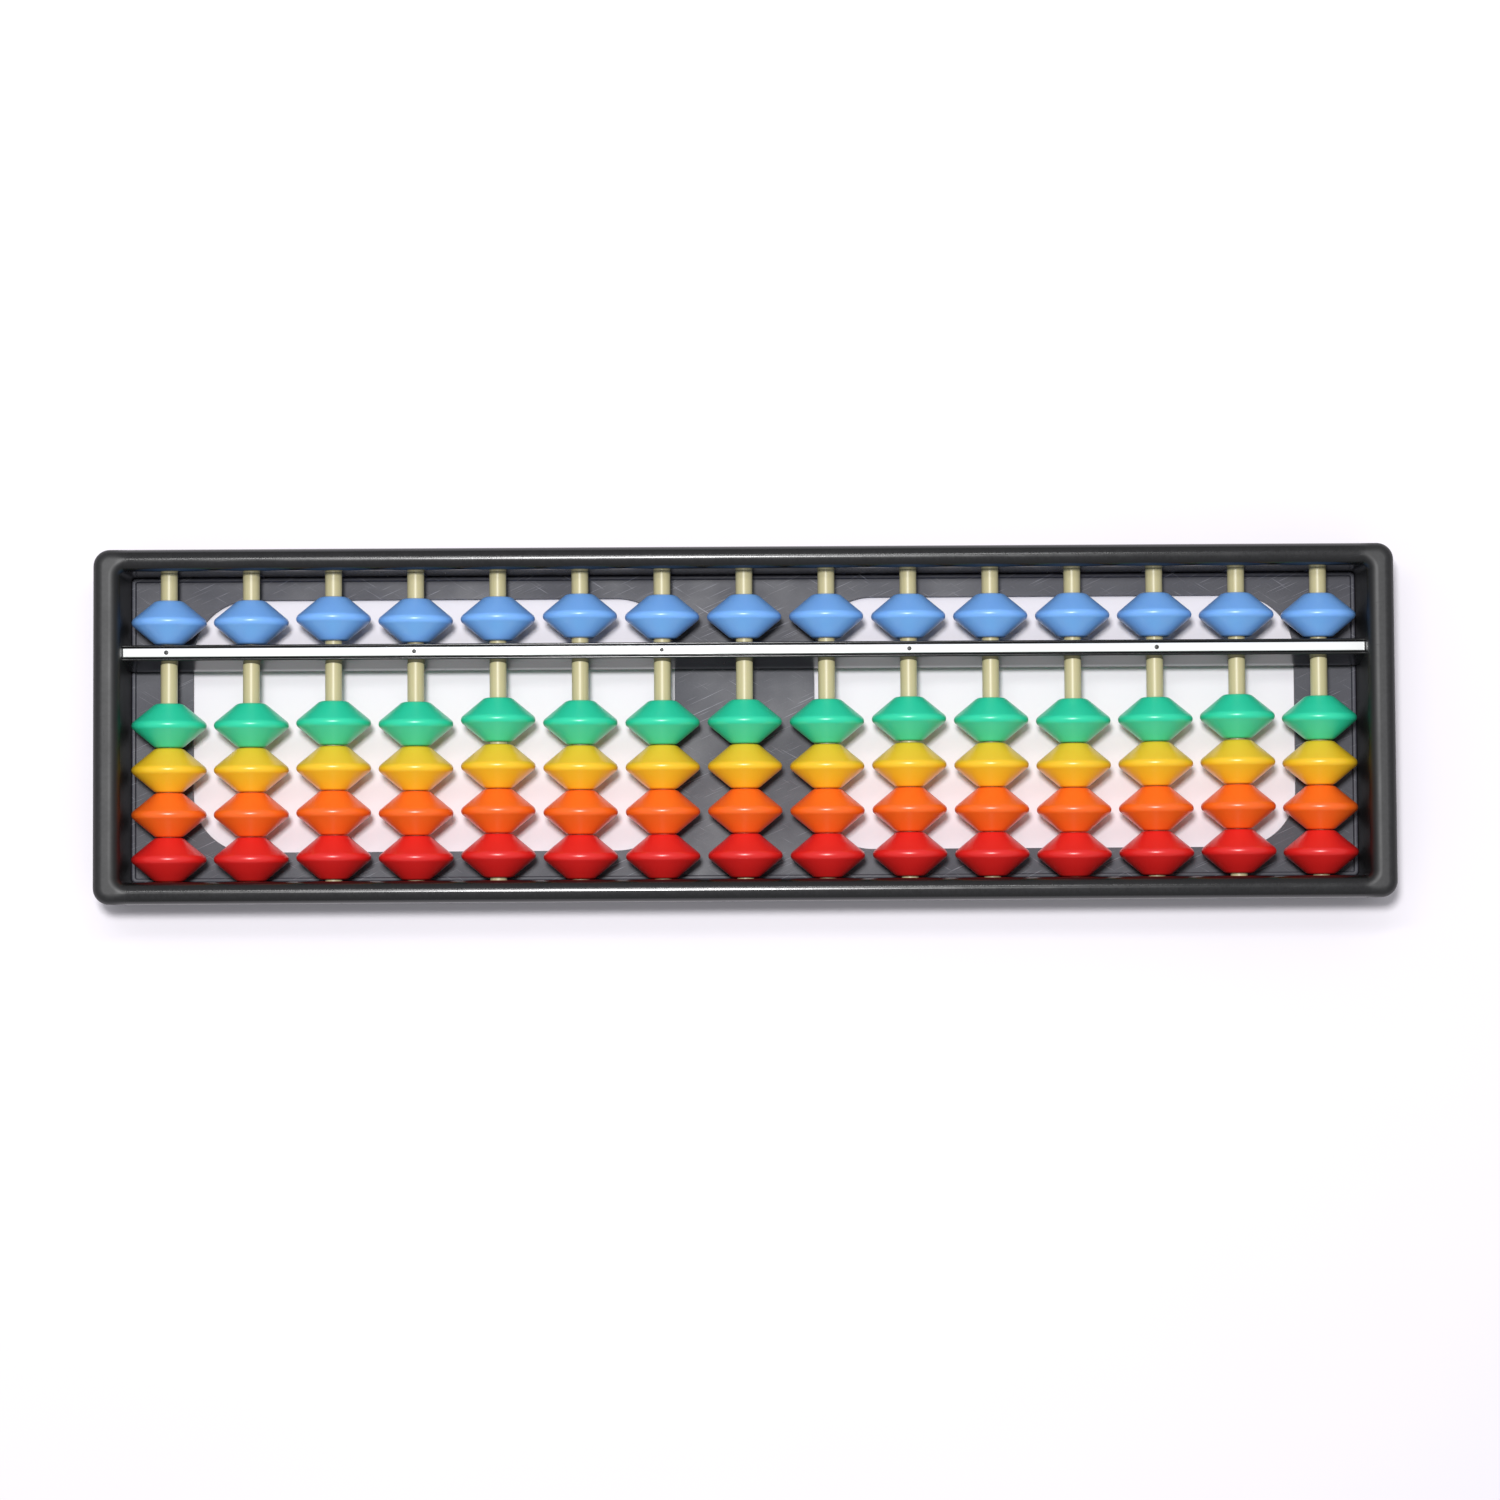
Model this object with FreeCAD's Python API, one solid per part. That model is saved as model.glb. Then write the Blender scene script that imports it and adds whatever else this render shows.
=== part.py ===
import FreeCAD
import Part
import math
import os

# A fifteen-rod student's abacus with one heaven bead and four earth beads on each rod, in moulded
# plastic. It lies flat, as it is used: X runs along the rail, +Y points from the user's near rail to
# the far rail, +Z up. The origin is the middle of the underside. Millimetres throughout.
#
# The frame is a rim moulded as an upside-down channel. A back plate with two windows closes it from
# below, its keys hold the rod ends up in their notches, and its hooks click behind catches in the rim.

# ---- frame -------------------------------------------------------------------------------------
FRAME_LENGTH = 275.0
FRAME_DEPTH = 75.0
END_RAIL_WIDTH = 5.7
LONG_RAIL_WIDTH = 4.7
RIM_CORNER_RADIUS = 3.5
RIM_CREST_RADIUS = 2.3
WELL_CORNER_RADIUS = 1.0
OUTER_WALL = 1.6
INNER_WALL = 1.4
CREST_THICKNESS = 2.6
RIM_RISE = 0.8  # of the rim above the tops of the beads

# ---- back plate --------------------------------------------------------------------------------
PLATE_RECESS = 0.3  # of the plate's underside above the table
PLATE_THICKNESS = 1.5
WINDOW_CORNER_RADIUS = 12.4
WINDOW_END_MARGIN = 13.1  # from the well's end wall to a window
WINDOW_NEAR_MARGIN = 6.4
WINDOW_FAR_MARGIN = 4.8
WINDOW_BRIDGE = 30.0  # the solid middle between the two windows
LOCATING_RIB_WIDTH = 0.9
LOCATING_RIB_HEIGHT = 1.0

# ---- rods and beads ----------------------------------------------------------------------------
ROD_COUNT = 15
ROD_DIAMETER = 3.6
ROD_OVERLAP = 0.8  # of a rod's end past the inner wall
BEAD_GAP = 1.7  # between the rims of neighbouring beads
END_GAP = 1.4  # between the last beads and the well's end walls
FLOOR_GAP = 0.6  # under the beads
BEAD_HOLE_CLEARANCE = 0.2
BEAD_END_FACE = 0.9  # width of the flat ring round a bead's hole
BEAD_SHOULDER_RADIUS = 1.5
BEAD_NOSE_RADIUS = 1.15  # round a bead's widest part
HEAVEN_TRAVEL = 5.6
EARTH_TRAVEL = 7.2
STOP_GAP = 0.1  # left between beads that touch, and between a bead and its stop
EARTH_BEADS = 4

# How far each bead or stack lies off its seat, in rod order from the left, as a hand leaves them.
HEAVEN_LIFT = (0.0, 0.0, 0.7, 0.2, 0.5, 1.0, 0.7, 0.7, 0.7, 0.6, 0.6, 0.6, 0.6, 0.5, 0.3)
LOWER_LIFT = (0.0, 0.0, 0.3, 0.1, 0.5, 0.1, 0.1, 0.2, 0.1, 0.3, 0.2, 0.0, 0.2, 0.5, 0.2)
FIRST_LIFT = (0.0, 0.0, 0.1, 0.0, 0.4, 0.1, 0.0, 0.0, 0.1, 0.3, 0.1, 0.0, 0.0, 0.2, 0.1)

# ---- reckoning beam ----------------------------------------------------------------------------
BEAM_WIDTH = 5.1
BEAM_TOP_WIDTH = 3.3
BEAM_TOP_INSET = 0.1  # of the beam's top from its far face
BEAM_SHOULDER_DROP = 2.8  # of the beam's stop faces' upper edge below the rod axis
BEAM_COVER = 2.0  # of plastic over the rods
STRIP_WIDTH = 1.8
STRIP_THICKNESS = 0.8
STRIP_PROUD = 0.3
STRIP_END_GAP = 0.1
PIN_DIAMETER = 0.95
PIN_LENGTH = 1.8
PIN_PROUD = 0.05
UNIT_RODS = (1, 4, 7, 10, 13)  # the rods with a unit point

# ---- fits --------------------------------------------------------------------------------------
FIT_GAP = 0.05
HOOK_WIDTH = 6.0
HOOK_HEIGHT = 5.0
HOOK_PLAY = 0.45  # between a hook's barb and the outer wall
CATCH_HEIGHT = 1.2
LONG_HOOK_RODS = (2, 6, 10, 14)  # each hook stands just past this rod
END_HOOK_PLACES = (-0.5, 0.5)  # in shares of the well's half depth

# ---- worked out --------------------------------------------------------------------------------
well_length = FRAME_LENGTH - 2 * END_RAIL_WIDTH
well_depth = FRAME_DEPTH - 2 * LONG_RAIL_WIDTH
rod_pitch = (well_length + BEAD_GAP - 2 * END_GAP) / ROD_COUNT
bead_diameter = rod_pitch - BEAD_GAP
stop_gaps = (EARTH_BEADS + 1) + 2
bead_length = (well_depth - BEAM_WIDTH - HEAVEN_TRAVEL - EARTH_TRAVEL - stop_gaps * STOP_GAP) / (EARTH_BEADS + 1)
bead_step = bead_length + STOP_GAP
plate_top = PLATE_RECESS + PLATE_THICKNESS
rod_z = plate_top + FLOOR_GAP + bead_diameter / 2
frame_height = rod_z + bead_diameter / 2 + RIM_RISE
beam_y = well_depth / 2 - HEAVEN_TRAVEL - bead_length - 2 * STOP_GAP - BEAM_WIDTH / 2
top_y = beam_y + (BEAM_WIDTH - BEAM_TOP_WIDTH) / 2 - BEAM_TOP_INSET  # the middle of the beam's top
beam_top = rod_z + ROD_DIAMETER / 2 + BEAM_COVER
beam_foot = plate_top + FIT_GAP
beam_shoulder = rod_z - BEAM_SHOULDER_DROP
rod_x = [(k - (ROD_COUNT - 1) / 2) * rod_pitch for k in range(ROD_COUNT)]
channel_top = frame_height - CREST_THICKNESS
crest_radius = min(RIM_CREST_RADIUS, 0.49 * LONG_RAIL_WIDTH, 0.49 * END_RAIL_WIDTH)
hook_room = min(LONG_RAIL_WIDTH, END_RAIL_WIDTH) - OUTER_WALL - INNER_WALL - FIT_GAP - HOOK_PLAY
hook_thickness = hook_room * 2 / 3
hook_bite = hook_room / 3
hook_gap = rod_pitch / 2

os.makedirs("parts", exist_ok=True)


def vector(x, y, z):
    return FreeCAD.Vector(x, y, z)


def box(length, depth, height, x, y, z):
    """A box centred on x and y, standing on z."""
    return Part.makeBox(length, depth, height, vector(x - length / 2, y - depth / 2, z))


def rounded_slab(length, depth, height, radius, x, y, z):
    """A box with rounded upright corners, centred on x and y, standing on z."""
    slab = box(length, depth, height, x, y, z)
    upright = [e for e in slab.Edges if abs(e.tangentAt(e.FirstParameter).z) > 0.99]
    return slab.makeFillet(radius, upright)


def prism(points, start, length, along):
    """The closed outline through the points, drawn at start and pushed along an axis."""
    face = Part.Face(Part.makePolygon(points + points[:1]))
    face.translate(start)
    return face.extrude(along * length)


def rod_cylinder(radius, length, x, y_near):
    return Part.makeCylinder(radius, length, vector(x, y_near, rod_z), vector(0, 1, 0))


def export(shape, name):
    shape.exportStep("parts/" + name + ".step")


# ---- beam --------------------------------------------------------------------------------------
def beam_outline(gap):
    """The beam's section, larger by gap all round, in the YZ plane."""
    half = BEAM_WIDTH / 2 + gap
    half_top = BEAM_TOP_WIDTH / 2 + gap
    foot = beam_foot - (gap > 0)
    return [
        vector(0, beam_y - half, foot),
        vector(0, beam_y + half, foot),
        vector(0, beam_y + half, beam_shoulder),
        vector(0, top_y + half_top, beam_top + gap),
        vector(0, top_y - half_top, beam_top + gap),
        vector(0, beam_y - half, beam_shoulder),
    ]


beam_length = well_length + 2 * INNER_WALL
strip_length = well_length - 2 * STRIP_END_GAP
strip_foot = beam_top + STRIP_PROUD - STRIP_THICKNESS


def make_beam():
    along = vector(1, 0, 0)
    beam = prism(beam_outline(0), vector(-beam_length / 2, 0, 0), beam_length, along)
    groove = box(strip_length + 2 * FIT_GAP, STRIP_WIDTH + 2 * FIT_GAP, STRIP_THICKNESS, 0, top_y, strip_foot)
    rods = [rod_cylinder(ROD_DIAMETER / 2 + FIT_GAP, BEAM_WIDTH + 2, x, beam_y - BEAM_WIDTH / 2 - 1) for x in rod_x]
    pins = [pin_cylinder(x, PIN_DIAMETER / 2) for x in unit_x]
    return beam.cut([groove] + rods + pins)


unit_x = [rod_x[rod - 1] for rod in UNIT_RODS]
pin_top = beam_top + STRIP_PROUD + PIN_PROUD


def pin_cylinder(x, radius):
    return Part.makeCylinder(radius, PIN_LENGTH, vector(x, top_y, pin_top - PIN_LENGTH))


def make_strip():
    strip = box(strip_length, STRIP_WIDTH, STRIP_THICKNESS, 0, top_y, strip_foot)
    return strip.cut([pin_cylinder(x, PIN_DIAMETER / 2) for x in unit_x])


def make_unit_pins():
    return Part.makeCompound([pin_cylinder(x, PIN_DIAMETER / 2) for x in unit_x])


# ---- rods --------------------------------------------------------------------------------------
rod_reach = INNER_WALL + ROD_OVERLAP


def make_rods():
    length = well_depth + 2 * rod_reach
    return Part.makeCompound([rod_cylinder(ROD_DIAMETER / 2, length, x, -length / 2) for x in rod_x])


# ---- hooks and catches -------------------------------------------------------------------------
def hook_places():
    """Where each hook stands: x, y, and the way it bites, on the channel's middle lines."""
    found = []
    inner_face_y = well_depth / 2 + INNER_WALL
    inner_face_x = well_length / 2 + INNER_WALL
    for rod in LONG_HOOK_RODS:
        x = rod_x[rod - 1] + hook_gap
        found += [(x, side * inner_face_y, 0, side) for side in (-1, 1) if x < inner_face_x - END_GAP]
    for share in END_HOOK_PLACES:
        y = share * well_depth / 2
        found += [(side * inner_face_x, y, side, 0) for side in (-1, 1)]
    return found


def hook_box(place, thickness, height, near, z):
    """A block of the hook's width that starts near past the inner wall and goes outwards."""
    x, y, way_x, way_y = place
    middle = near + thickness / 2
    if way_y:
        return box(HOOK_WIDTH, thickness, height, x, y + way_y * middle, z)
    return box(thickness, HOOK_WIDTH, height, x + way_x * middle, y, z)


def make_hook(place):
    post = hook_box(place, hook_thickness, HOOK_HEIGHT, FIT_GAP, plate_top)
    barb = hook_box(place, hook_bite, CATCH_HEIGHT, FIT_GAP + hook_thickness, plate_top + HOOK_HEIGHT - CATCH_HEIGHT)
    return [post, barb]


def make_catch(place):
    """The ledge on the outer wall that the hook's barb sits above."""
    rail = LONG_RAIL_WIDTH if place[3] else END_RAIL_WIDTH
    channel = rail - OUTER_WALL - INNER_WALL
    near = FIT_GAP + hook_thickness + FIT_GAP
    top = plate_top + HOOK_HEIGHT - CATCH_HEIGHT - FIT_GAP
    return hook_box(place, channel - near, CATCH_HEIGHT, near, top - CATCH_HEIGHT)


# ---- rim ---------------------------------------------------------------------------------------
def make_rim():
    outside = rounded_slab(FRAME_LENGTH, FRAME_DEPTH, frame_height, RIM_CORNER_RADIUS, 0, 0, 0)
    well = rounded_slab(well_length, well_depth, frame_height, WELL_CORNER_RADIUS, 0, 0, 0)
    ring = outside.cut(well)
    crest = [e for e in ring.Edges if e.BoundBox.ZMin > frame_height - FIT_GAP]
    ring = ring.makeFillet(crest_radius, crest)

    channel_outside = rounded_slab(
        FRAME_LENGTH - 2 * OUTER_WALL,
        FRAME_DEPTH - 2 * OUTER_WALL,
        channel_top,
        RIM_CORNER_RADIUS - OUTER_WALL,
        0,
        0,
        0,
    )
    channel_inside = rounded_slab(
        well_length + 2 * INNER_WALL,
        well_depth + 2 * INNER_WALL,
        channel_top,
        WELL_CORNER_RADIUS + INNER_WALL,
        0,
        0,
        0,
    )
    ring = ring.cut(channel_outside.cut(channel_inside))

    # the inner wall stops on the plate
    foot = box(
        well_length + 2 * INNER_WALL + 2 * FIT_GAP,
        well_depth + 2 * INNER_WALL + 2 * FIT_GAP,
        plate_top + FIT_GAP,
        0,
        0,
        0,
    )
    notches = [notch(x, side) for x in rod_x for side in (-1, 1)]
    slots = [beam_slot(side) for side in (-1, 1)]
    ring = ring.cut([foot] + notches + slots)
    return ring.fuse([make_catch(p) for p in hook_places()]).removeSplitter()


def notch(x, side):
    """An upside-down U in a long rail's inner wall, where a rod's end sits."""
    width = ROD_DIAMETER + 2 * FIT_GAP
    middle = side * (well_depth + INNER_WALL) / 2
    thick = INNER_WALL + 2 * FIT_GAP
    slot = box(width, thick, rod_z, x, middle, 0)
    crown = rod_cylinder(width / 2, thick, x, middle - thick / 2)
    return slot.fuse(crown)


def beam_slot(side):
    """The opening in an end rail's inner wall that the beam's end fills."""
    thick = INNER_WALL + 2 * FIT_GAP
    start = side * (well_length + INNER_WALL) / 2 - thick / 2
    return prism(beam_outline(FIT_GAP), vector(start, 0, 0), thick, vector(1, 0, 0))


# ---- back plate --------------------------------------------------------------------------------
def make_window(side):
    length = (well_length - WINDOW_BRIDGE) / 2 - WINDOW_END_MARGIN
    depth = well_depth - WINDOW_NEAR_MARGIN - WINDOW_FAR_MARGIN
    x = side * (WINDOW_BRIDGE + length) / 2
    y = (WINDOW_NEAR_MARGIN - WINDOW_FAR_MARGIN) / 2
    return rounded_slab(length, depth, frame_height, WINDOW_CORNER_RADIUS, x, y, 0)


def make_locating_rib():
    """A low wall on the plate that stands just inside the rim's inner wall."""
    outside = rounded_slab(
        well_length - 2 * FIT_GAP,
        well_depth - 2 * FIT_GAP,
        LOCATING_RIB_HEIGHT,
        WELL_CORNER_RADIUS,
        0,
        0,
        plate_top,
    )
    width = 2 * (FIT_GAP + LOCATING_RIB_WIDTH)
    inside = box(well_length - width, well_depth - width, LOCATING_RIB_HEIGHT, 0, 0, plate_top)
    gap = box(well_length, BEAM_WIDTH + 2 * FIT_GAP, LOCATING_RIB_HEIGHT, 0, beam_y, plate_top)
    return outside.cut([inside, gap])


def make_rod_key(x, side):
    """The post in a rod's notch that holds the rod up."""
    width = ROD_DIAMETER - 2 * FIT_GAP
    height = rod_z - ROD_DIAMETER / 2 - FIT_GAP - plate_top
    return box(width, INNER_WALL, height, x, side * (well_depth + INNER_WALL) / 2, plate_top)


def make_back_plate():
    gap = 2 * (OUTER_WALL + FIT_GAP)
    plate = rounded_slab(
        FRAME_LENGTH - gap,
        FRAME_DEPTH - gap,
        PLATE_THICKNESS,
        RIM_CORNER_RADIUS - OUTER_WALL,
        0,
        0,
        PLATE_RECESS,
    )
    plate = plate.cut([make_window(side) for side in (-1, 1)])
    keys = [make_rod_key(x, side) for x in rod_x for side in (-1, 1)]
    hooks = [piece for place in hook_places() for piece in make_hook(place)]
    return plate.fuse([make_locating_rib()] + keys + hooks).removeSplitter()


# ---- beads -------------------------------------------------------------------------------------
def make_bead():
    """One bead round the Y axis, its middle at the origin: two cones that meet in a round nose."""
    hole = ROD_DIAMETER / 2 + BEAD_HOLE_CLEARANCE
    end = hole + BEAD_END_FACE
    half = bead_length / 2
    nose_centre = bead_diameter / 2 - BEAD_NOSE_RADIUS
    to_nose = math.hypot(nose_centre - end, half)
    slope = math.atan2(half, nose_centre - end) - math.asin(BEAD_NOSE_RADIUS / to_nose)
    tip = end + half / math.tan(slope)
    shoulder_radius = min(BEAD_SHOULDER_RADIUS, 0.9 * BEAD_END_FACE / math.tan(slope / 2))
    outline = [
        vector(hole, -half, 0),
        vector(end, -half, 0),
        vector(tip, 0, 0),
        vector(end, half, 0),
        vector(hole, half, 0),
    ]
    face = Part.Face(Part.makePolygon(outline + outline[:1]))
    bead = face.revolve(vector(0, 0, 0), vector(0, 1, 0), 360)
    bead = bead.makeFillet(BEAD_NOSE_RADIUS, circles(bead, tip))
    return bead.makeFillet(shoulder_radius, circles(bead, end))


def circles(shape, radius):
    """The shape's round edges of this radius."""
    round_edges = [e for e in shape.Edges if isinstance(e.Curve, Part.Circle)]
    return [e for e in round_edges if abs(e.Curve.Radius - radius) < 0.01]


def bead_at(bead, column, y):
    placed = bead.copy()
    placed.translate(vector(rod_x[column], y, rod_z))
    return placed


def export_beads():
    bead = make_bead()
    near_seat = -well_depth / 2 + STOP_GAP + bead_length / 2
    beam_seat = beam_y + BEAM_WIDTH / 2 + STOP_GAP + bead_length / 2
    for column in range(ROD_COUNT):
        number = f"{column + 1:02d}"
        export(bead_at(bead, column, beam_seat + HEAVEN_LIFT[column]), "heaven_bead_" + number)
        lowest = near_seat + LOWER_LIFT[column]
        lower = [bead_at(bead, column, lowest + step * bead_step) for step in range(EARTH_BEADS - 1)]
        export(Part.makeCompound(lower), "lower_earth_beads_" + number)
        first = lowest + (EARTH_BEADS - 1) * bead_step + FIRST_LIFT[column]
        export(bead_at(bead, column, first), "first_earth_bead_" + number)


export(make_rim(), "frame_rim")
export(make_back_plate(), "back_plate")
export(make_beam(), "reckoning_beam")
export(make_strip(), "beam_strip")
export(make_unit_pins(), "unit_point_pins")
export(make_rods(), "rods")
export_beads()

print("frame", round(FRAME_LENGTH, 2), round(FRAME_DEPTH, 2), round(frame_height, 2))
print("rod pitch", round(rod_pitch, 3), "rod axis height", round(rod_z, 3), "beam y", round(beam_y, 3))
print("bead", round(bead_diameter, 3), "by", round(bead_length, 3))
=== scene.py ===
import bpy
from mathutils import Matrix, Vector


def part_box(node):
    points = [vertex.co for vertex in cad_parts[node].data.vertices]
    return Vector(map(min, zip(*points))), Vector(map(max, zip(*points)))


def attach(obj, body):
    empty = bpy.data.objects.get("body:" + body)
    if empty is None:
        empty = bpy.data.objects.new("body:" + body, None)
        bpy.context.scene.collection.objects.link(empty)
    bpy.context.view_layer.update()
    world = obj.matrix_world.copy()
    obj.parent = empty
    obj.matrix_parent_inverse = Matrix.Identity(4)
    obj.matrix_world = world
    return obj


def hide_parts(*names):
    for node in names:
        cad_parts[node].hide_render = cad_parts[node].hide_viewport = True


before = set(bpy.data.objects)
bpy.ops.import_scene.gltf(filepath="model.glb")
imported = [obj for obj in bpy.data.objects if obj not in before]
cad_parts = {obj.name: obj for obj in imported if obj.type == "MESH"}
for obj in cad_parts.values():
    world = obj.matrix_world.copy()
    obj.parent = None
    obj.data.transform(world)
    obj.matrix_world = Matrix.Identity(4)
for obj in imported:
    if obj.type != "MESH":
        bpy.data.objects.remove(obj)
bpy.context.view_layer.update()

import math

import bmesh
import bpy
from mathutils import Matrix, Vector

MM = 0.001

# ---- sizes, in metres ----------------------------------------------------------------------------
# Places come from the frame. These are the sizes that its boxes don't tell.
END_RAIL = 5.7 * MM
LONG_RAIL = 4.7 * MM
OUTER_WALL = 1.6 * MM
INNER_WALL = 1.4 * MM
RIM_CORNER = 3.5 * MM
CREST_RADIUS = 2.3 * MM
WELL_CORNER = 1.0 * MM
CREST_THICKNESS = 2.6 * MM
FOOT_ROUNDING = 0.25 * MM
FIT = 0.05 * MM

PLATE_THICKNESS = 1.5 * MM
PLATE_EDGE = 0.25 * MM
WINDOW_CORNER = 12.4 * MM
WINDOW_END_MARGIN = 13.1 * MM
WINDOW_NEAR_MARGIN = 6.4 * MM
WINDOW_FAR_MARGIN = 4.8 * MM
WINDOW_BRIDGE = 30.0 * MM
RIB_WIDTH = 0.9 * MM
RIB_HEIGHT = 1.0 * MM
RIB_EDGE = 0.3 * MM
RIB_CORNER = 0.3 * MM
RIB_ROOT = 0.4 * MM  # of the rib, sunk into the plate
POST_ROOT = 0.5 * MM
POST_EDGE = 0.1 * MM

BEAM_TOP_WIDTH = 3.3 * MM
BEAM_SHOULDER_DROP = 2.8 * MM
BEAM_EDGE = 0.2 * MM
STRIP_EDGE = 0.18 * MM

ROD_RADIUS = 1.8 * MM
ROD_END_EDGE = 0.3 * MM
BEAD_HOLE = 2.0 * MM
BEAD_END = 2.9 * MM
BEAD_SHOULDER_RADIUS = 1.5 * MM
BEAD_NOSE_RADIUS = 1.15 * MM
BEAD_MOUTH_CUT = 0.12 * MM
BEAD_STEPS = 88  # round a bead
UNIT_POINTS = 5
UNIT_POINT_RADIUS = 0.475 * MM
UNIT_POINT_EDGE = 0.04 * MM
ROUND_SEGMENTS = 48  # round a rod and its bores
CREST_SEGMENTS = 12
WINDOW_CORNER_SEGMENTS = 24
SAME_POINT = 0.001 * MM  # vertices nearer than this are one
SMOOTH_BELOW = 35  # degrees between faces that are shaded as one surface

rim_low, rim_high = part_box("frame_rim")
plate_low, plate_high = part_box("back_plate")
beam_low, beam_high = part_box("reckoning_beam")
strip_low, strip_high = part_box("beam_strip")
rods_low, rods_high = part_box("rods")
well_x = rim_high.x - END_RAIL
well_y = rim_high.y - LONG_RAIL
plate_top = plate_low.z + PLATE_THICKNESS
rod_z = (rods_low.z + rods_high.z) / 2
beam_y = (beam_low.y + beam_high.y) / 2
strip_y = (strip_low.y + strip_high.y) / 2
columns = sorted(name[-2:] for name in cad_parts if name.startswith("heaven_bead_"))
rod_x = [sum(corner.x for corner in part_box("heaven_bead_" + c)) / 2 for c in columns]


# ---- mesh helpers --------------------------------------------------------------------------------
def place(name, bm, material, body, node=None):
    """Turns a bmesh into a piece that rides on a body and stands for a node."""
    bmesh.ops.remove_doubles(bm, verts=bm.verts, dist=SAME_POINT)
    bmesh.ops.recalc_face_normals(bm, faces=bm.faces)
    mesh = bpy.data.meshes.new(name)
    bm.to_mesh(mesh)
    bm.free()
    piece = bpy.data.objects.new(name, mesh)
    bpy.context.scene.collection.objects.link(piece)
    dress(piece, material)
    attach(piece, body)
    if node:
        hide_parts(node)
    return piece


def dress(piece, material):
    """Smooth shading between the true edges, with the flats kept flat."""
    piece.data.shade_smooth()
    piece.data.set_sharp_from_angle(angle=math.radians(SMOOTH_BELOW))
    piece.data.materials.clear()
    piece.data.materials.append(material)
    flats = piece.modifiers.new("flats", "WEIGHTED_NORMAL")
    flats.keep_sharp = True


def rounded_loop(bm, half_x, half_y, radius, z, segments=10, centre=(0, 0)):
    """The outline of a flat rectangle with round corners, made from one quad by rounding its corners."""
    made = bmesh.ops.create_grid(bm, x_segments=1, y_segments=1, size=1)["verts"]
    bmesh.ops.scale(bm, vec=(half_x, half_y, 1), verts=made)
    bmesh.ops.translate(bm, vec=(*centre, z), verts=made)
    quad = made[0].link_faces[0]
    rounded = bmesh.ops.bevel(
        bm,
        geom=made,
        offset=radius,
        offset_type="OFFSET",
        affect="VERTICES",
        segments=segments,
        profile=0.5,
        material=-1,
    )
    face = quad if quad.is_valid else rounded["verts"][0].link_faces[0]
    edges = list(face.edges)
    bmesh.ops.delete(bm, geom=[face], context="FACES_ONLY")
    return edges


def ring(bm, stations):
    """A closed ring through rounded rectangles: each station is half x, half y, radius, z.
    The loops are joined while stacked one above the other, then brought to their own heights."""
    loops = [rounded_loop(bm, *station[:3], level * MM) for level, station in enumerate(stations)]
    for here, there in zip(loops, loops[1:] + loops[:1]):
        bmesh.ops.bridge_loops(bm, edges=here + there)
    for level, (loop, station) in enumerate(zip(loops, stations)):
        corners = list({v for e in loop for v in e.verts})
        bmesh.ops.translate(bm, vec=(0, 0, station[3] - level * MM), verts=corners)


def round_edges(bm, edges, radius, segments):
    """Rounds edges to a radius."""
    bmesh.ops.bevel(
        bm,
        geom=list(edges),
        offset=radius,
        offset_type="OFFSET",
        affect="EDGES",
        segments=segments,
        profile=0.5,
        material=-1,
        clamp_overlap=True,
    )


def sharp_edges(bm, at_least=60):
    """The edges where two faces meet at a corner."""
    return [e for e in bm.edges if e.is_manifold and e.calc_face_angle() > math.radians(at_least)]


def block(bm, low, high, edge=0.0, segments=2):
    """A box between two corners, its edges rounded."""
    part = bmesh.new()
    made = bmesh.ops.create_cube(part, size=1)["verts"]
    size = Vector(high) - Vector(low)
    bmesh.ops.scale(part, vec=size, verts=made)
    bmesh.ops.translate(part, vec=(Vector(high) + Vector(low)) / 2, verts=made)
    if edge:
        round_edges(part, part.edges, edge, segments)
    join(bm, part)


def join(bm, part):
    """Adds one bmesh to another."""
    mesh = bpy.data.meshes.new("part")
    part.to_mesh(mesh)
    part.free()
    bm.from_mesh(mesh)
    bpy.data.meshes.remove(mesh)


def bar(bm, radius, start, length, edge=0.0):
    """A round bar along Y from start, with softened ends."""
    part = bmesh.new()
    made = bmesh.ops.create_cone(
        part, cap_ends=True, segments=ROUND_SEGMENTS, radius1=radius, radius2=radius, depth=length
    )["verts"]
    bmesh.ops.rotate(part, cent=(0, 0, 0), matrix=Matrix.Rotation(math.radians(90), 3, "X"), verts=made)
    bmesh.ops.translate(part, vec=Vector(start) + Vector((0, length / 2, 0)), verts=made)
    if edge:
        round_edges(part, sharp_edges(part), edge, 2)
    join(bm, part)


def cut(piece, cutter_bm):
    """Takes the cutter's solids out of a piece, for good."""
    mesh = bpy.data.meshes.new("cutter")
    bmesh.ops.recalc_face_normals(cutter_bm, faces=cutter_bm.faces)
    cutter_bm.to_mesh(mesh)
    cutter_bm.free()
    cutter = bpy.data.objects.new("cutter", mesh)
    bpy.context.scene.collection.objects.link(cutter)
    piece.modifiers.remove(piece.modifiers["flats"])
    boolean = piece.modifiers.new("cut", "BOOLEAN")
    boolean.operation = "DIFFERENCE"
    boolean.solver = "EXACT"
    boolean.use_self = True
    boolean.object = cutter
    evaluated = piece.evaluated_get(bpy.context.evaluated_depsgraph_get())
    result = bpy.data.meshes.new_from_object(evaluated)
    piece.modifiers.remove(boolean)
    old = piece.data
    piece.data = result
    name = old.name
    material = old.materials[0]
    bpy.data.meshes.remove(old)
    result.name = name
    bpy.data.objects.remove(cutter)
    bpy.data.meshes.remove(mesh)
    dress(piece, material)


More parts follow.
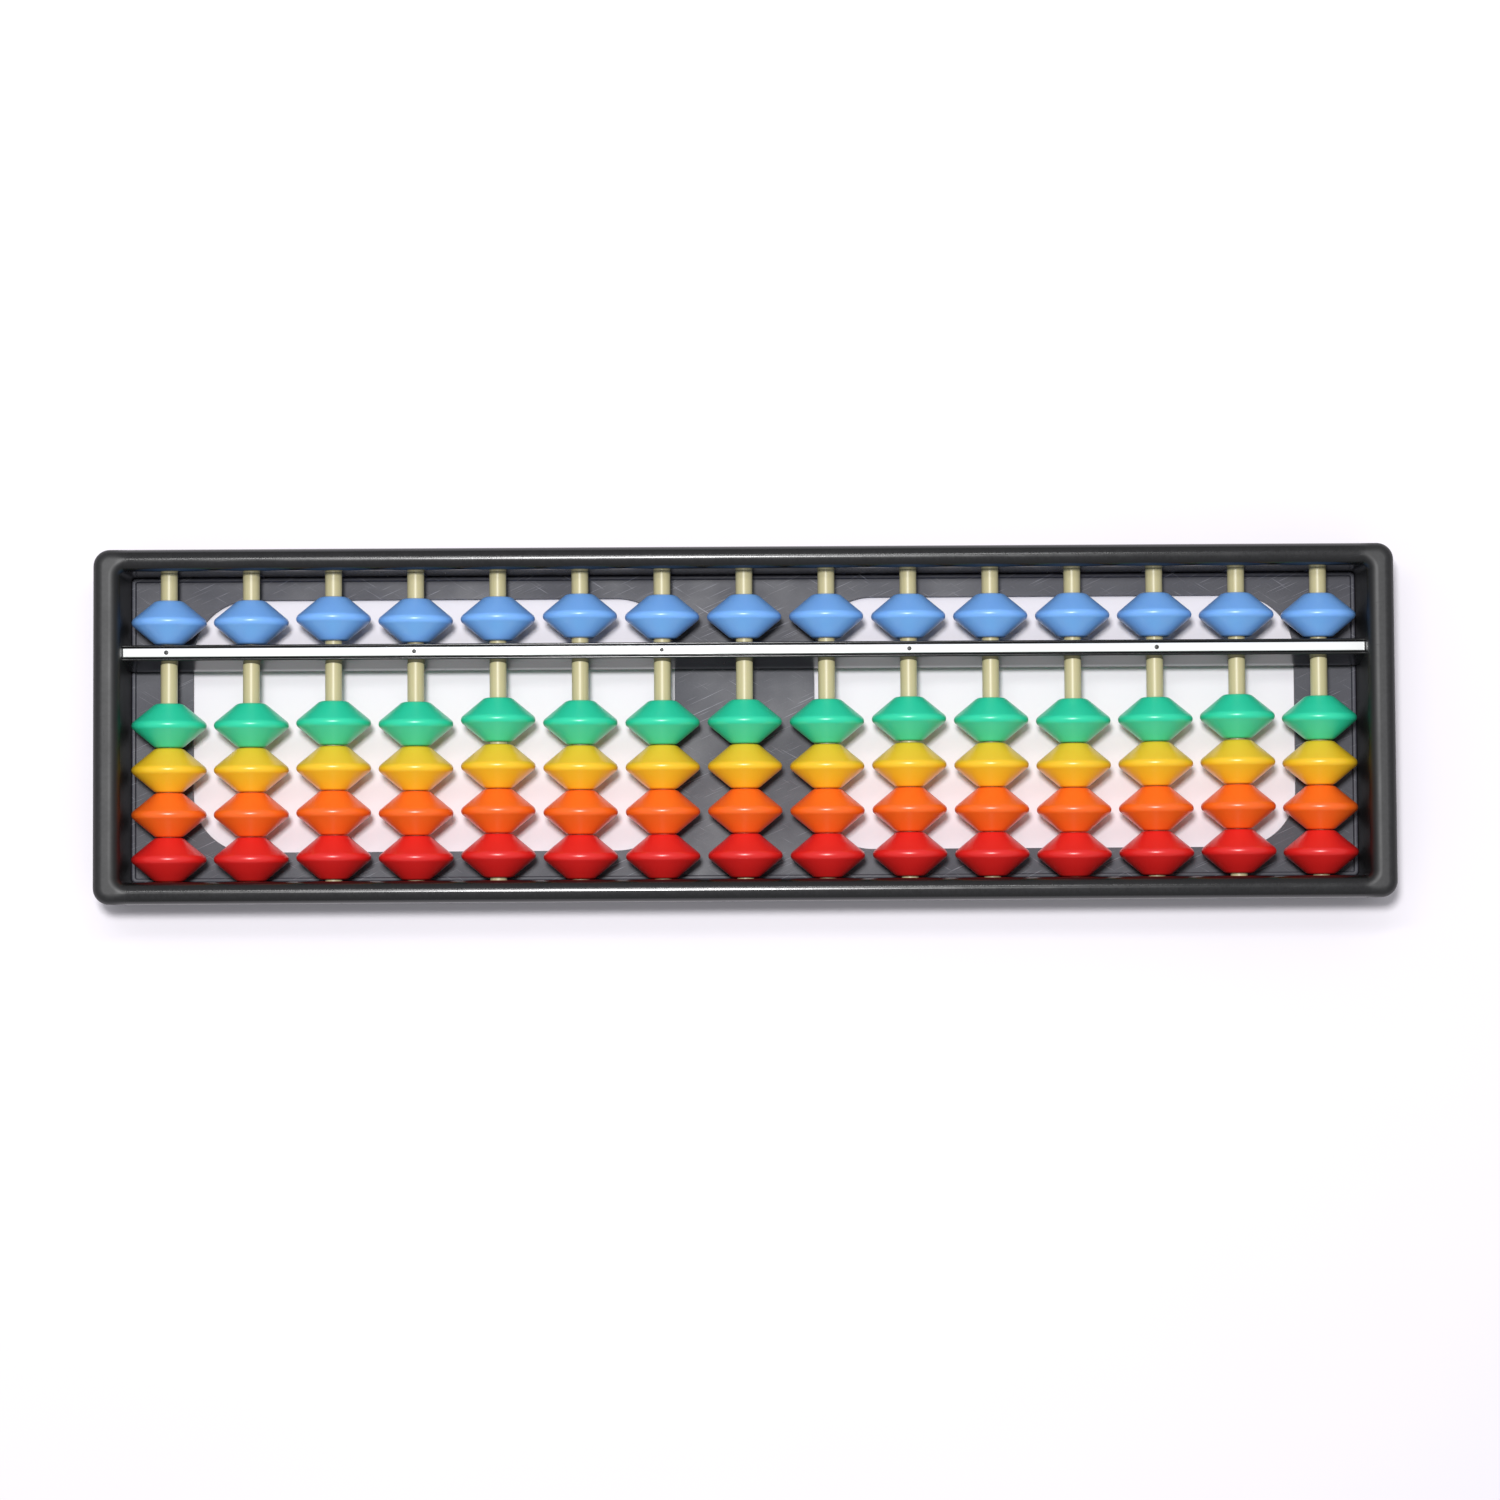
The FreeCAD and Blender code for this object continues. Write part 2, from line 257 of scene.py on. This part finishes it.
# ---- materials -----------------------------------------------------------------------------------
def linear(colour):
    """A linear RGBA from an sRGB hex value such as 1C6DD0."""
    channels = [int(colour[i : i + 2], 16) / 255 for i in (0, 2, 4)]
    return (*[c / 12.92 if c <= 0.04045 else ((c + 0.055) / 1.055) ** 2.4 for c in channels], 1.0)


def add(tree, kind, values=None, **settings):
    """Adds a node; each value is a setting for that input, or a socket that feeds it."""
    made = tree.nodes.new(kind)
    for name, setting in settings.items():
        setattr(made, name, setting)
    for name, value in (values or {}).items():
        if isinstance(value, bpy.types.NodeSocket):
            tree.links.new(value, made.inputs[name])
        else:
            made.inputs[name].default_value = value
    return made


def start_material(name):
    """A new material, its node tree and the socket that gives each point's place in the object."""
    material = bpy.data.materials.new(name)
    material.use_nodes = True
    tree = material.node_tree
    tree.nodes.clear()
    place_of_point = add(tree, "ShaderNodeTexCoord").outputs["Object"]
    return material, tree, place_of_point


def end_material(material, tree, shader_values):
    """Joins the shader and the output to a material."""
    shader = add(tree, "ShaderNodeBsdfPrincipled", shader_values)
    add(tree, "ShaderNodeOutputMaterial", {"Surface": shader.outputs["BSDF"]})
    return material


def scratches(tree, point, angle, spacing, length, share):
    """Fine straight scratches: a noise drawn out along one direction, of which only the peaks show."""
    turned = add(
        tree,
        "ShaderNodeMapping",
        {
            "Vector": point,
            "Rotation": (0, 0, math.radians(angle)),
            "Scale": (length, spacing, length),
        },
        vector_type="TEXTURE",
    )
    noise = add(
        tree,
        "ShaderNodeTexNoise",
        {"Vector": turned.outputs["Vector"], "Scale": 1.0, "Detail": 2.0, "Roughness": 0.6},
    )
    peaks = add(
        tree,
        "ShaderNodeMapRange",
        {"Value": noise.outputs["Fac"], "From Min": 1 - share, "From Max": 1 - share + 0.08},
    )
    return peaks.outputs["Result"]


def crossed_scratches(tree, point, one_way, other_way):
    """Two sets of scratches, each with its angle, spacing, length and share: the stronger shows."""
    first = scratches(tree, point, *one_way)
    second = scratches(tree, point, *other_way)
    return add(tree, "ShaderNodeMath", {0: first, 1: second}, operation="MAXIMUM").outputs["Value"]


def black_moulded_abs():
    """Black ABS from a polished mould: a deep black that shows a thin bright line along the long
    rails, a faint ripple from the mould, a crest top speckled lighter grey as painted glints and
    rubbing, and end rails worn dull by the hands that hold them."""
    material, tree, point = start_material("black moulded ABS")
    mottle = add(tree, "ShaderNodeTexNoise", {"Vector": point, "Scale": 1 / (9 * MM), "Detail": 4.0})
    place_in_frame = add(tree, "ShaderNodeSeparateXYZ", {"Vector": point})
    near_crest = add(
        tree,
        "ShaderNodeMapRange",
        {"Value": place_in_frame.outputs["Z"], "From Min": rim_high.z - 0.5 * MM, "From Max": rim_high.z},
    )
    speckle = add(tree, "ShaderNodeTexNoise", {"Vector": point, "Scale": 1 / (0.8 * MM), "Detail": 3.0})
    # Painted glints: the top half-millimetre of the crest gets a lighter grey speckle, a painted highlight
    # along the crest together with rubbing.
    crest_rub_and_glints = add(
        tree,
        "ShaderNodeMath",
        {0: near_crest.outputs["Result"], 1: speckle.outputs["Fac"]},
        operation="MULTIPLY",
    )
    marks = crossed_scratches(
        tree, point, (8, 0.25 * MM, 14 * MM, 0.30), (97, 0.25 * MM, 9 * MM, 0.28)
    )
    body = add(
        tree,
        "ShaderNodeMix",
        {"Factor": mottle.outputs["Fac"], "A": linear("0F0F10"), "B": linear("171718")},
        data_type="RGBA",
    )
    # Mixes in the lighter grey 2E2E30 that is painted into the crest top as glints and rubbing.
    crest_glinted_body = add(
        tree,
        "ShaderNodeMix",
        {"Factor": crest_rub_and_glints.outputs["Value"], "A": body.outputs[2], "B": linear("2E2E30")},
        data_type="RGBA",
    )
    roughness = add(
        tree,
        "ShaderNodeMapRange",
        {"Value": mottle.outputs["Fac"], "From Min": 0.3, "From Max": 0.7, "To Min": 0.17, "To Max": 0.23},
    )
    sideways = add(tree, "ShaderNodeMath", {0: place_in_frame.outputs["X"]}, operation="ABSOLUTE")
    handled = add(
        tree,
        "ShaderNodeMapRange",
        {
            "Value": sideways.outputs["Value"],
            "From Min": well_x - 2 * MM,
            "From Max": well_x + MM,
            "To Min": 0.0,
            "To Max": 0.32,
        },
    )
    gripped = add(tree, "ShaderNodeMath", {0: handled.outputs["Result"], 1: roughness.outputs["Result"]})
    scuffed = add(
        tree,
        "ShaderNodeMath",
        {0: marks, 1: 0.12, 2: gripped.outputs["Value"]},
        operation="MULTIPLY_ADD",
    )
    ripple = add(tree, "ShaderNodeTexNoise", {"Vector": point, "Scale": 1 / (1.6 * MM), "Detail": 2.0})
    bump = add(
        tree, "ShaderNodeBump", {"Height": ripple.outputs["Fac"], "Strength": 0.12, "Distance": 0.05 * MM}
    )
    return end_material(
        material,
        tree,
        {
            "Base Color": crest_glinted_body.outputs[2],
            "Roughness": scuffed.outputs["Value"],
            "IOR": 1.54,
            "Normal": bump.outputs["Normal"],
        },
    )


def grey_textured_abs():
    """Dark grey ABS from a spark-eroded mould: a fine even grain that greys the light, with
    pale hairline scratches and a few rubbed patches from years of fingers."""
    material, tree, point = start_material("grey textured ABS")
    patches = add(tree, "ShaderNodeTexNoise", {"Vector": point, "Scale": 1 / (16 * MM), "Detail": 5.0})
    grain = add(tree, "ShaderNodeTexNoise", {"Vector": point, "Scale": 1 / (0.35 * MM), "Detail": 2.0})
    marks = crossed_scratches(
        tree, point, (24, 0.22 * MM, 11 * MM, 0.36), (-31, 0.22 * MM, 8 * MM, 0.33)
    )
    body = add(
        tree,
        "ShaderNodeMix",
        {"Factor": patches.outputs["Fac"], "A": linear("34343C"), "B": linear("42424B")},
        data_type="RGBA",
    )
    grained = add(
        tree,
        "ShaderNodeMix",
        {"Factor": grain.outputs["Fac"], "A": body.outputs[2], "B": linear("4A4A54")},
        data_type="RGBA",
    )
    scratched = add(
        tree,
        "ShaderNodeMix",
        {"Factor": marks, "A": grained.outputs[2], "B": linear("85858F")},
        data_type="RGBA",
    )
    roughness = add(
        tree,
        "ShaderNodeMapRange",
        {"Value": patches.outputs["Fac"], "From Min": 0.3, "From Max": 0.7, "To Min": 0.44, "To Max": 0.6},
    )
    bump = add(
        tree, "ShaderNodeBump", {"Height": grain.outputs["Fac"], "Strength": 0.25, "Distance": 0.03 * MM}
    )
    return end_material(
        material,
        tree,
        {
            "Base Color": scratched.outputs[2],
            "Roughness": roughness.outputs["Result"],
            "IOR": 1.54,
            "Specular IOR Level": 0.42,
            "Normal": bump.outputs["Normal"],
        },
    )


def white_polished_abs():
    """White ABS strip, polished: bright and even, with a trace of grime in patches."""
    material, tree, point = start_material("white polished ABS")
    grime = add(tree, "ShaderNodeTexNoise", {"Vector": point, "Scale": 1 / (7 * MM), "Detail": 6.0})
    colour = add(
        tree,
        "ShaderNodeMix",
        {"Factor": grime.outputs["Fac"], "A": linear("F4F5F5"), "B": linear("E4E5E3")},
        data_type="RGBA",
    )
    marks = scratches(tree, point, 3, 0.15 * MM, 12 * MM, 0.32)
    roughness = add(tree, "ShaderNodeMath", {0: marks, 1: 0.2, 2: 0.2}, operation="MULTIPLY_ADD")
    return end_material(
        material,
        tree,
        {"Base Color": colour.outputs[2], "Roughness": roughness.outputs["Value"], "IOR": 1.54},
    )


def black_pin_plastic():
    """Black plastic pins pressed into the strip: small, dull, almost without a highlight."""
    material, tree, point = start_material("black pin plastic")
    speckle = add(tree, "ShaderNodeTexNoise", {"Vector": point, "Scale": 1 / (0.3 * MM)})
    colour = add(
        tree,
        "ShaderNodeMix",
        {"Factor": speckle.outputs["Fac"], "A": linear("0A0A0A"), "B": linear("161616")},
        data_type="RGBA",
    )
    return end_material(material, tree, {"Base Color": colour.outputs[2], "Roughness": 0.45, "IOR": 1.5})


def cream_drawn_rod():
    """Cream plastic rod drawn through a die to look like bamboo: a satin skin with fine streaks
    that run along the rod, a little browner here and there."""
    material, tree, point = start_material("cream drawn rod")
    across = 1 / (0.35 * MM)
    along = 1 / (14 * MM)
    stretched = add(tree, "ShaderNodeMapping", {"Vector": point, "Scale": (across, along, across)})
    streaks = add(
        tree,
        "ShaderNodeTexNoise",
        {"Vector": stretched.outputs["Vector"], "Scale": 1.0, "Detail": 4.0, "Roughness": 0.6},
    )
    stain = add(tree, "ShaderNodeTexNoise", {"Vector": point, "Scale": 1 / (22 * MM), "Detail": 2.0})
    body = add(
        tree,
        "ShaderNodeMix",
        {"Factor": streaks.outputs["Fac"], "A": linear("ADA478"), "B": linear("C9C198")},
        data_type="RGBA",
    )
    warmed = add(
        tree,
        "ShaderNodeMix",
        {"Factor": stain.outputs["Fac"], "A": body.outputs[2], "B": linear("C4BB93")},
        data_type="RGBA",
    )
    bump = add(
        tree, "ShaderNodeBump", {"Height": streaks.outputs["Fac"], "Strength": 0.2, "Distance": 0.04 * MM}
    )
    return end_material(
        material,
        tree,
        {
            "Base Color": warmed.outputs[2],
            "Roughness": 0.38,
            "IOR": 1.5,
            "Subsurface Weight": 0.1,
            "Subsurface Radius": (1.0, 0.8, 0.4),
            "Subsurface Scale": 0.8 * MM,
            "Normal": bump.outputs["Normal"],
        },
    )


def glossy_polystyrene(name, pale, deep):
    """Coloured polystyrene, moulded and tumbled: a saturated colour that light sinks into a
    little, under a smooth skin with hairline scuffs. Each is a shade lighter in places."""
    material, tree, point = start_material(name)
    cloud = add(tree, "ShaderNodeTexNoise", {"Vector": point, "Scale": 1 / (6 * MM), "Detail": 3.0})
    colour = add(
        tree,
        "ShaderNodeMix",
        {"Factor": cloud.outputs["Fac"], "A": linear(deep), "B": linear(pale)},
        data_type="RGBA",
    )
    scuffs = crossed_scratches(
        tree, point, (12, 0.12 * MM, 5 * MM, 0.34), (78, 0.12 * MM, 4 * MM, 0.32)
    )
    rough = add(tree, "ShaderNodeMath", {0: scuffs, 1: 0.12, 2: 0.32}, operation="MULTIPLY_ADD")
    ripple = add(tree, "ShaderNodeTexNoise", {"Vector": point, "Scale": 1 / (1.2 * MM), "Detail": 1.0})
    bump = add(
        tree, "ShaderNodeBump", {"Height": ripple.outputs["Fac"], "Strength": 0.06, "Distance": 0.05 * MM}
    )
    return end_material(
        material,
        tree,
        {
            "Base Color": colour.outputs[2],
            "Roughness": rough.outputs["Value"],
            "IOR": 1.59,
            "Subsurface Weight": 0.15,
            "Subsurface Radius": (1.0, 0.7, 0.5),
            "Subsurface Scale": 1.0 * MM,
            "Normal": bump.outputs["Normal"],
        },
    )


def white_paper():
    """Smooth white paper: matt, with the faintest cloudiness."""
    material, tree, point = start_material("white paper")
    cloud = add(tree, "ShaderNodeTexNoise", {"Vector": point, "Scale": 1 / (60 * MM), "Detail": 4.0})
    colour = add(
        tree,
        "ShaderNodeMix",
        {"Factor": cloud.outputs["Fac"], "A": linear("F1EDF4"), "B": linear("F5F1F7")},
        data_type="RGBA",
    )
    return end_material(
        material, tree, {"Base Color": colour.outputs[2], "Roughness": 0.85, "Specular IOR Level": 0.2}
    )


black_abs = black_moulded_abs()
grey_abs = grey_textured_abs()
white_abs = white_polished_abs()
pin_black = black_pin_plastic()
rod_cream = cream_drawn_rod()
bead_blue = glossy_polystyrene("blue polystyrene", "7FB6F8", "74ABF2")
bead_green = glossy_polystyrene("green polystyrene", "2FD6A8", "28CC9F")
bead_yellow = glossy_polystyrene("yellow polystyrene", "F5C62A", "F0C024")
bead_orange = glossy_polystyrene("orange polystyrene", "F76B1C", "F2651A")
bead_red = glossy_polystyrene("red polystyrene", "DE2422", "D6201F")


# ---- rim -----------------------------------------------------------------------------------------
def inset_station(end_inset, long_inset, radius, z):
    """A station for ring, measured inwards from the rim's outside."""
    return rim_high.x - end_inset, rim_high.y - long_inset, radius, z


def make_rim():
    """A ring with a half-round crest, hollow from below, notched for the rods."""
    inner_foot = plate_top + FIT
    channel_top = rim_high.z - CREST_THICKNESS
    inner_corner = WELL_CORNER + INNER_WALL
    bm = bmesh.new()
    ring(
        bm,
        [
            inset_station(0, 0, RIM_CORNER, rim_low.z),
            inset_station(0, 0, RIM_CORNER, rim_high.z),
            inset_station(END_RAIL, LONG_RAIL, WELL_CORNER, rim_high.z),
            inset_station(END_RAIL, LONG_RAIL, WELL_CORNER, inner_foot),
            inset_station(END_RAIL - INNER_WALL, LONG_RAIL - INNER_WALL, inner_corner, inner_foot),
            inset_station(END_RAIL - INNER_WALL, LONG_RAIL - INNER_WALL, inner_corner, channel_top),
            inset_station(OUTER_WALL, OUTER_WALL, RIM_CORNER - OUTER_WALL, channel_top),
            inset_station(OUTER_WALL, OUTER_WALL, RIM_CORNER - OUTER_WALL, rim_low.z),
        ],
    )
    level = [e for e in bm.edges if abs(e.verts[0].co.z - e.verts[1].co.z) < 1e-7]
    crest = [e for e in level if e.verts[0].co.z > rim_high.z - FIT]
    crest = [e for e in crest if e.calc_face_angle() > math.radians(60)]
    round_edges(bm, crest, CREST_RADIUS, CREST_SEGMENTS)
    feet = [e for e in sharp_edges(bm) if max(v.co.z for v in e.verts) < rim_low.z + FIT]
    round_edges(bm, feet, FOOT_ROUNDING, 3)
    rim = place("rim", bm, black_abs, "frame", "frame_rim")

    notches = bmesh.new()
    half = ROD_RADIUS + FIT
    for x in rod_x:
        for side in (-1, 1):
            near, far = sorted((side * (well_y - FIT), side * (well_y + INNER_WALL + FIT)))
            block(notches, (x - half, near, inner_foot - MM), (x + half, far, rod_z))
            bar(notches, half, (x, near, rod_z), far - near)
    cut(rim, notches)


# ---- back plate ----------------------------------------------------------------------------------
def window_centre_and_half(side):
    """The middle of the left (-1) or right (1) window, and half its size each way."""
    half_x = (well_x - WINDOW_END_MARGIN - WINDOW_BRIDGE / 2) / 2
    half_y = (2 * well_y - WINDOW_NEAR_MARGIN - WINDOW_FAR_MARGIN) / 2
    centre = (side * (WINDOW_BRIDGE / 2 + half_x), (WINDOW_NEAR_MARGIN - WINDOW_FAR_MARGIN) / 2)
    return centre, half_x, half_y


def make_back_plate():
    """A sheet with two windows and a post under each rod end."""
    bm = bmesh.new()
    edges = rounded_loop(bm, plate_high.x, plate_high.y, RIM_CORNER - OUTER_WALL, plate_low.z)
    for side in (-1, 1):
        centre, half_x, half_y = window_centre_and_half(side)
        edges += rounded_loop(
            bm, half_x, half_y, WINDOW_CORNER, plate_low.z, WINDOW_CORNER_SEGMENTS, centre
        )
    sheet = bmesh.ops.triangle_fill(bm, edges=edges, use_beauty=True)["geom"]
    faces = [g for g in sheet if isinstance(g, bmesh.types.BMFace)]
    raised = bmesh.ops.extrude_face_region(bm, geom=faces)["geom"]
    corners = [g for g in raised if isinstance(g, bmesh.types.BMVert)]
    bmesh.ops.translate(bm, vec=(0, 0, PLATE_THICKNESS), verts=corners)
    bmesh.ops.recalc_face_normals(bm, faces=bm.faces)
    round_edges(bm, sharp_edges(bm), PLATE_EDGE, 3)

    post_top = rod_z - ROD_RADIUS - FIT
    half = ROD_RADIUS - FIT
    for x in rod_x:
        for side in (-1, 1):
            near, far = sorted((side * well_y, side * (well_y + INNER_WALL)))
            block(bm, (x - half, near, plate_top - POST_ROOT), (x + half, far, post_top), POST_EDGE)
    place("back_plate", bm, grey_abs, "frame", "back_plate")


def make_plate_rib():
    """A low rib on the plate, just inside the rim's wall, open where the beam stands."""
    rib = bmesh.new()
    outside = (well_x - FIT, well_y - FIT, WELL_CORNER)
    inside = (well_x - FIT - RIB_WIDTH, well_y - FIT - RIB_WIDTH, RIB_CORNER)
    ring(
        rib,
        [
            (*outside, plate_top - RIB_ROOT),
            (*outside, plate_top + RIB_HEIGHT),
            (*inside, plate_top + RIB_HEIGHT),
            (*inside, plate_top - RIB_ROOT),
        ],
    )
    top = [e for e in sharp_edges(rib) if min(v.co.z for v in e.verts) > plate_top + RIB_HEIGHT - FIT]
    round_edges(rib, top, RIB_EDGE, 3)
    rib_piece = place("plate_rib", rib, grey_abs, "frame")
    gap = bmesh.new()
    block(
        gap,
        (-rim_high.x, beam_low.y - FIT, plate_top - MM),
        (rim_high.x, beam_high.y + FIT, plate_top + 2 * RIB_HEIGHT),
    )
    cut(rib_piece, gap)


# ---- beam ----------------------------------------------------------------------------------------
def make_beam():
    """A long bar whose near flank leans back above the rods, grooved on top for the white strip."""
    bm = bmesh.new()
    block(bm, beam_low, beam_high)
    shoulder = rod_z - BEAM_SHOULDER_DROP
    everything = list(bm.verts) + list(bm.edges) + list(bm.faces)
    bmesh.ops.bisect_plane(bm, geom=everything, plane_co=(0, 0, shoulder), plane_no=(0, 0, 1))
    bm.faces.ensure_lookup_table()
    top = max(bm.faces, key=lambda f: f.calc_center_median().z)
    beam_middle = Matrix.Translation((0, -beam_y, 0))
    narrowed = BEAM_TOP_WIDTH / (beam_high.y - beam_low.y)
    bmesh.ops.scale(bm, vec=(1, narrowed, 1), space=beam_middle, verts=top.verts)
    bmesh.ops.translate(bm, vec=(0, strip_y - beam_y, 0), verts=top.verts)
    groove_wall = BEAM_TOP_WIDTH / 2 - ((strip_high.y - strip_low.y) / 2 + FIT)
    bmesh.ops.inset_region(bm, faces=[top], thickness=groove_wall)
    shortened = (strip_high.x + FIT) / (beam_high.x - groove_wall)
    bmesh.ops.scale(bm, vec=(shortened, 1, 1), verts=top.verts)
    sunk = bmesh.ops.extrude_discrete_faces(bm, faces=[top])["faces"][0]
    bmesh.ops.translate(bm, vec=(0, 0, strip_low.z - beam_high.z), verts=sunk.verts)
    bmesh.ops.recalc_face_normals(bm, faces=bm.faces)
    round_edges(bm, sharp_edges(bm, 20), BEAM_EDGE, 3)
    beam = place("beam", bm, black_abs, "frame", "reckoning_beam")
    bores = bmesh.new()
    for x in rod_x:
        bar(bores, ROD_RADIUS + FIT, (x, beam_low.y - MM, rod_z), beam_high.y - beam_low.y + 2 * MM)
    cut(beam, bores)


def make_strip():
    """The white strip let into the beam's top."""
    bm = bmesh.new()
    block(bm, strip_low, strip_high, STRIP_EDGE, 3)
    place("white_strip", bm, white_abs, "frame", "beam_strip")


def make_unit_points():
    """Small round pins, their heads just proud of the strip."""
    low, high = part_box("unit_point_pins")
    spacing = (high.x - low.x - 2 * UNIT_POINT_RADIUS) / (UNIT_POINTS - 1)
    for k in range(UNIT_POINTS):
        x = low.x + UNIT_POINT_RADIUS + k * spacing
        bm = bmesh.new()
        made = bmesh.ops.create_cone(
            bm,
            cap_ends=True,
            segments=32,
            radius1=UNIT_POINT_RADIUS,
            radius2=UNIT_POINT_RADIUS,
            depth=high.z - low.z,
        )["verts"]
        bmesh.ops.translate(bm, vec=(x, strip_y, (low.z + high.z) / 2), verts=made)
        round_edges(bm, sharp_edges(bm), UNIT_POINT_EDGE, 2)
        place(f"unit_point_{k + 1}", bm, pin_black, "frame", "unit_point_pins")


# ---- rods ----------------------------------------------------------------------------------------
def make_rods():
    """One rod to a column, its ends hidden in the rails."""
    for column, x in zip(columns, rod_x):
        bm = bmesh.new()
        bar(bm, ROD_RADIUS, (x, rods_low.y, rod_z), rods_high.y - rods_low.y, ROD_END_EDGE)
        place("rod_" + column, bm, rod_cream, "frame", "rods")


# ---- beads ---------------------------------------------------------------------------------------
def bead_outline(bm, half_length, radius):
    """The bead's section beside its axis, which is Y: two flanks that meet in a round nose."""
    nose_centre = radius - BEAD_NOSE_RADIUS
    to_nose = math.hypot(nose_centre - BEAD_END, half_length)
    slope = math.atan2(half_length, nose_centre - BEAD_END) - math.asin(BEAD_NOSE_RADIUS / to_nose)
    tip = BEAD_END + half_length / math.tan(slope)
    shoulder_cut = BEAD_SHOULDER_RADIUS * math.tan(slope / 2)
    nose_cut = BEAD_NOSE_RADIUS / math.tan(slope)
    corners = [
        (BEAD_HOLE, -half_length, BEAD_MOUTH_CUT, 2),
        (BEAD_END, -half_length, shoulder_cut, 6),
        (tip, 0, nose_cut, 12),
        (BEAD_END, half_length, shoulder_cut, 6),
        (BEAD_HOLE, half_length, BEAD_MOUTH_CUT, 2),
    ]
    points = [bm.verts.new((x, y, 0)) for x, y, _, _ in corners]
    bm.faces.new(points)
    for point, (_, _, cut_back, segments) in zip(points, corners):
        bmesh.ops.bevel(
            bm,
            geom=[point],
            offset=cut_back,
            offset_type="OFFSET",
            affect="VERTICES",
            segments=segments,
            profile=0.5,
            material=-1,
        )
    return list(bm.edges)


def bead_mesh():
    """One bead round Y, its middle at the origin: the outline spun a full turn."""
    low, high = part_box("heaven_bead_01")
    bm = bmesh.new()
    outline = bead_outline(bm, (high.y - low.y) / 2, (high.x - low.x) / 2)
    bmesh.ops.delete(bm, geom=list(bm.faces), context="FACES_ONLY")
    bmesh.ops.spin(
        bm,
        geom=outline,
        cent=(0, 0, 0),
        axis=(0, 1, 0),
        angle=math.tau,
        steps=BEAD_STEPS,
        use_merge=True,
    )
    bmesh.ops.remove_doubles(bm, verts=bm.verts, dist=SAME_POINT)
    bmesh.ops.recalc_face_normals(bm, faces=bm.faces)
    mesh = bpy.data.meshes.new("bead")
    bm.to_mesh(mesh)
    bm.free()
    return mesh


def make_beads():
    """Five beads to a rod. The yellow, orange and red ones share one body and stand for one node, a step
    apart.
    """
    pattern = bead_mesh()
    low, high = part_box("heaven_bead_01")
    length = high.y - low.y
    for column, x in zip(columns, rod_x):
        heaven = "heaven_bead_" + column
        first = "first_earth_bead_" + column
        lower = "lower_earth_beads_" + column
        lower_low, lower_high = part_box(lower)
        nearest = lower_low.y + length / 2
        step = (lower_high.y - lower_low.y - length) / 2
        beads = [
            ("blue_bead_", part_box(heaven)[0].y + length / 2, bead_blue, heaven, "blue_beads"),
            ("green_bead_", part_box(first)[0].y + length / 2, bead_green, first, "green_beads"),
            ("yellow_bead_", nearest + 2 * step, bead_yellow, lower, "orange_beads"),
            ("orange_bead_", nearest + step, bead_orange, lower, "orange_beads"),
            ("red_bead_", nearest, bead_red, lower, "orange_beads"),
        ]
        for name, y, material, node, slot in beads:
            bm = bmesh.new()
            bm.from_mesh(pattern)
            bmesh.ops.translate(bm, vec=(x, y, rod_z), verts=bm.verts)
            place(name + column, bm, material, node, node)
    bpy.data.meshes.remove(pattern)


make_rim()
make_back_plate()
make_plate_rib()
make_beam()
make_strip()
make_unit_points()
make_rods()
make_beads()


# ---- floor, lights and camera --------------------------------------------------------------------
FLOOR_HALF = 4.0
FLOOR_DROP = 0.02 * MM  # below the object's foot, so that the two don't share a plane


def make_floor():
    """A wide sheet of white paper under the object."""
    bm = bmesh.new()
    bmesh.ops.create_grid(bm, x_segments=1, y_segments=1, size=FLOOR_HALF)
    mesh = bpy.data.meshes.new("paper_floor")
    bm.to_mesh(mesh)
    bm.free()
    floor = bpy.data.objects.new("paper_floor", mesh)
    floor.location.z = rim_low.z - FLOOR_DROP
    floor.data.materials.append(white_paper())
    bpy.context.scene.collection.objects.link(floor)


def softbox(name, where, size_x, size_y, watts):
    """A rectangular lamp that faces the object."""
    light = bpy.data.lights.new(name, "AREA")
    light.shape = "RECTANGLE"
    light.size = size_x
    light.size_y = size_y
    light.energy = watts
    lamp = bpy.data.objects.new(name, light)
    lamp.location = where
    lamp.rotation_euler = (-Vector(where)).to_track_quat("-Z", "Y").to_euler()
    bpy.context.scene.collection.objects.link(lamp)


def make_world(strength):
    """Even light from a pale room."""
    world = bpy.data.worlds.new("pale room")
    world.use_nodes = True
    background = world.node_tree.nodes["Background"]
    background.inputs["Color"].default_value = linear("FBFCFF")
    background.inputs["Strength"].default_value = strength
    bpy.context.scene.world = world


CAMERA_PLACE = (-3 * MM, -40 * MM, 770 * MM)
CAMERA_TURN = (2.614, -0.292, -0.351)  # degrees about X, Y and Z from looking straight down
CAMERA_LENS = 85.72
SENSOR_WIDTH = 36.0


def make_camera():
    """A long lens almost straight above the object."""
    data = bpy.data.cameras.new("camera")
    data.lens = CAMERA_LENS
    data.sensor_width = SENSOR_WIDTH
    data.clip_start = 0.01
    data.clip_end = 20
    camera = bpy.data.objects.new("camera", data)
    camera.location = CAMERA_PLACE
    camera.rotation_euler = [math.radians(a) for a in CAMERA_TURN]
    bpy.context.scene.collection.objects.link(camera)
    bpy.context.scene.camera = camera


make_floor()
make_world(0.40)
softbox("key", where=(-0.05, 0.09, 0.90), size_x=0.10, size_y=0.10, watts=6.1)
softbox("crest light", where=(-0.05, 0.22, 0.62), size_x=0.40, size_y=0.04, watts=0.65)
make_camera()
bpy.context.scene.view_settings.view_transform = "Standard"
